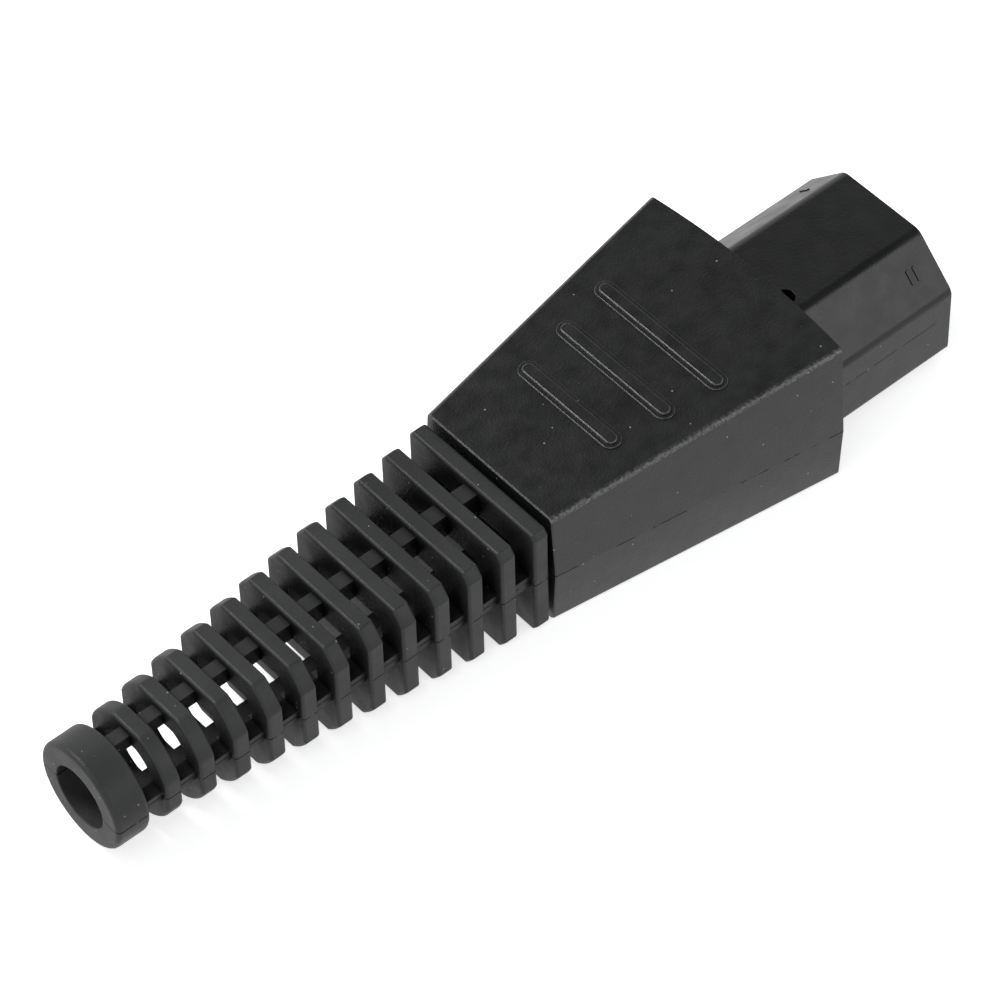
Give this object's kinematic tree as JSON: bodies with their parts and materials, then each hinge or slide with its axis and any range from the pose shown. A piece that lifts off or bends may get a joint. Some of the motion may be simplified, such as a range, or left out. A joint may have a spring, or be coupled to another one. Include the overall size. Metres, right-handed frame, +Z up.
{
  "type": "rewireable power connector",
  "caption": "Rewireable cable-end power connector with three contact slots, a tapered ribbed hood and a flexible ring boot.",
  "frame": {"origin": "on the mating face, on the axis of the boot and at the insert's parting plane", "axes": "+X is the mating direction, +Z is up towards the chamfered side, +Y is the line side"},
  "size_m": [0.1185, 0.0338, 0.0213],
  "materials": {
    "hood_plastic": "satin black with fine grain",
    "insert_plastic": "semi-gloss black",
    "boot_rubber": "matte black rubber",
    "clamp_plastic": "satin black",
    "brass": "stamped and turned brass",
    "plated_steel": "bright zinc plated"
  },
  "bodies": {
    "insert": {"insert_base": "insert_plastic", "insert_cover": "insert_plastic", "contact_line": "brass", "contact_neutral": "brass", "contact_earth": "brass", "terminal_line": "brass", "terminal_neutral": "brass", "terminal_earth": "brass", "cover_screw_left": "plated_steel", "cover_screw_right": "plated_steel", "hood_screw_left": "plated_steel", "hood_screw_right": "plated_steel"},
    "hood_and_boot": {"hood": "hood_plastic", "boot": "boot_rubber"},
    "cable_clamp": {"clamp_saddle": "clamp_plastic"},
    "left_clamp_screw": {"clamp_screw_left": "plated_steel"},
    "right_clamp_screw": {"clamp_screw_right": "plated_steel"},
    "line_plate": {"plate_line": "plated_steel"},
    "line_screw": {"screw_line": "plated_steel"},
    "neutral_plate": {"plate_neutral": "plated_steel"},
    "neutral_screw": {"screw_neutral": "plated_steel"},
    "earth_plate": {"plate_earth": "plated_steel"},
    "earth_screw": {"screw_earth": "plated_steel"}
  },
  "joints": [
    {"name": "hood_slide", "type": "slide", "parent": "insert", "child": "hood_and_boot", "axis": [-1, 0, 0], "range_m": [0, 0.05]},
    {"name": "line_plate_press", "type": "slide", "parent": "insert", "child": "line_plate", "axis": [0, 0, -1], "range_m": [0, 0.0018]},
    {"name": "line_screw_turn", "type": "hinge", "parent": "line_plate", "child": "line_screw", "pos_m": [-0.0312, 0.007, 0], "axis": [0, 0, -1], "range_deg": [0, 1295]},
    {"name": "neutral_plate_press", "type": "slide", "parent": "insert", "child": "neutral_plate", "axis": [0, 0, -1], "range_m": [0, 0.0018]},
    {"name": "neutral_screw_turn", "type": "hinge", "parent": "neutral_plate", "child": "neutral_screw", "pos_m": [-0.0312, -0.007, 0], "axis": [0, 0, -1], "range_deg": [0, 1295]},
    {"name": "earth_plate_press", "type": "slide", "parent": "insert", "child": "earth_plate", "axis": [0, 0, -1], "range_m": [0, 0.0018]},
    {"name": "earth_screw_turn", "type": "hinge", "parent": "earth_plate", "child": "earth_screw", "pos_m": [-0.0312, 0, 0], "axis": [0, 0, -1], "range_deg": [0, 1295]},
    {"name": "clamp_close", "type": "slide", "parent": "insert", "child": "cable_clamp", "axis": [0, 0, -1], "range_m": [0, 0.0022]},
    {"name": "left_clamp_screw_turn", "type": "hinge", "parent": "cable_clamp", "child": "left_clamp_screw", "pos_m": [-0.0476, 0.0074, 0], "axis": [0, 0, -1], "range_deg": [0, 1750]},
    {"name": "right_clamp_screw_turn", "type": "hinge", "parent": "cable_clamp", "child": "right_clamp_screw", "pos_m": [-0.0476, -0.0074, 0], "axis": [0, 0, -1], "range_deg": [0, 1750]}
  ]
}
